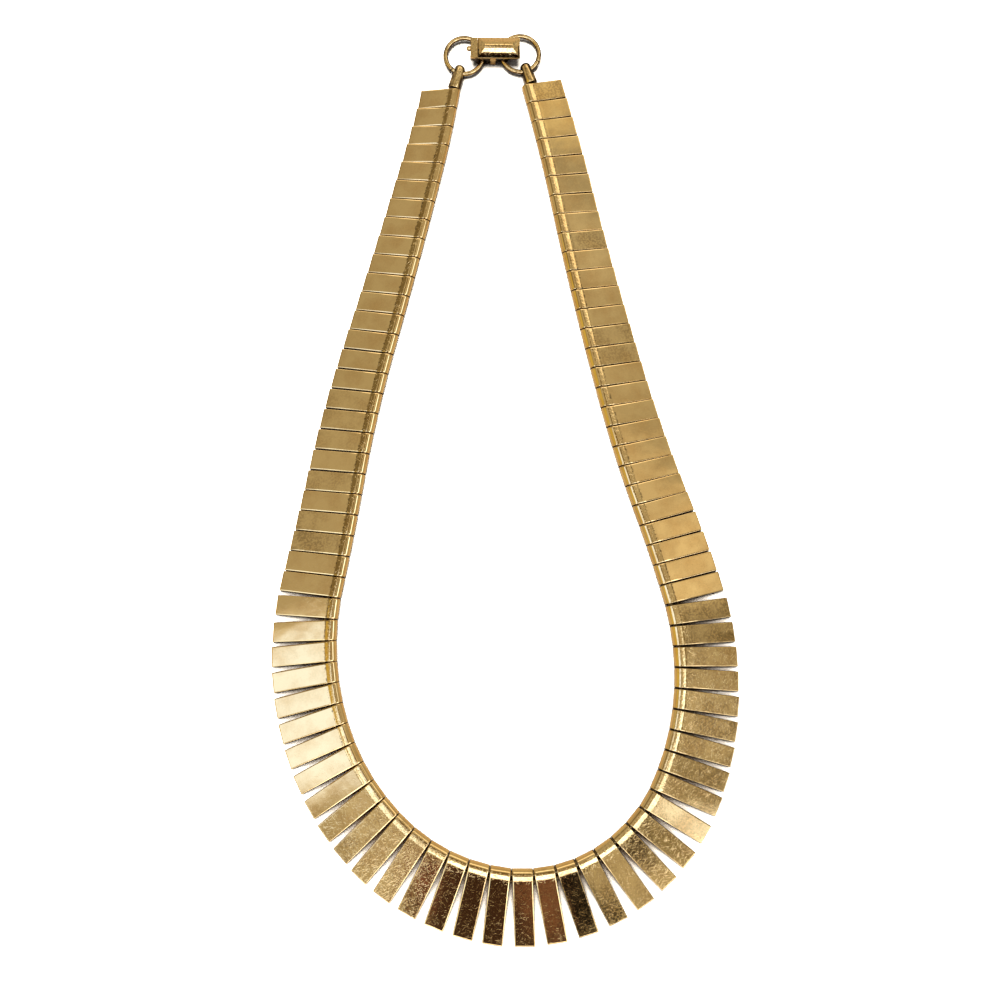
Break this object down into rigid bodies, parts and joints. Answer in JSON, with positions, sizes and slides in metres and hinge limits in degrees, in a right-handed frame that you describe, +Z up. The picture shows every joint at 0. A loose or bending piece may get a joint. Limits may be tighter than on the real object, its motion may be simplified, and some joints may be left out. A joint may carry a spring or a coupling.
{
  "type": "collar necklace",
  "caption": "Fastened collar necklace of hollow gold-tone metal plates with rolled inner edges, longer at the front, lying open, with end hooks, rings and a box clasp.",
  "frame": {"origin": "under the middle of the whole necklace, on the surface it lies on", "axes": "+Y towards the clasp, -Y towards the front of the collar, +Z up from the surface"},
  "size_m": [0.103, 0.2062, 0.0053],
  "materials": {
    "plate_gold": "polished antique gold plate",
    "wire_gold": "dark tarnished gold plate",
    "fitting_gold": "polished antique gold plate"
  },
  "bodies": {
    "root": {"front_plate_01": "plate_gold", "front_plate_02": "plate_gold", "front_plate_03": "plate_gold", "front_plate_04": "plate_gold", "front_plate_05": "plate_gold", "front_plate_06": "plate_gold", "front_plate_07": "plate_gold", "front_plate_08": "plate_gold", "front_plate_09": "plate_gold", "front_plate_10": "plate_gold", "front_plate_11": "plate_gold", "front_plate_12": "plate_gold", "front_plate_13": "plate_gold", "front_plate_14": "plate_gold", "front_plate_15": "plate_gold", "front_plate_16": "plate_gold", "front_plate_17": "plate_gold", "front_plate_18": "plate_gold", "front_plate_19": "plate_gold", "front_plate_20": "plate_gold", "front_plate_21": "plate_gold", "front_plate_22": "plate_gold", "front_plate_23": "plate_gold", "front_plate_24": "plate_gold", "front_plate_25": "plate_gold", "front_plate_26": "plate_gold", "front_plate_27": "plate_gold", "front_plate_28": "plate_gold", "front_plate_29": "plate_gold", "front_plate_30": "plate_gold", "front_plate_31": "plate_gold", "front_plate_32": "plate_gold", "front_plate_33": "plate_gold", "front_plate_34": "plate_gold", "front_plate_35": "plate_gold", "front_plate_36": "plate_gold", "front_plate_37": "plate_gold", "front_plate_38": "plate_gold", "front_plate_39": "plate_gold", "front_plate_40": "plate_gold", "front_plate_41": "plate_gold", "left_side_plates": "plate_gold", "right_side_plates": "plate_gold", "link_wire": "wire_gold", "left_end_hook": "fitting_gold", "right_end_hook": "fitting_gold", "left_ring": "fitting_gold", "right_ring": "fitting_gold", "clasp_box": "fitting_gold", "clasp_tongue": "fitting_gold"}
  },
  "joints": []
}
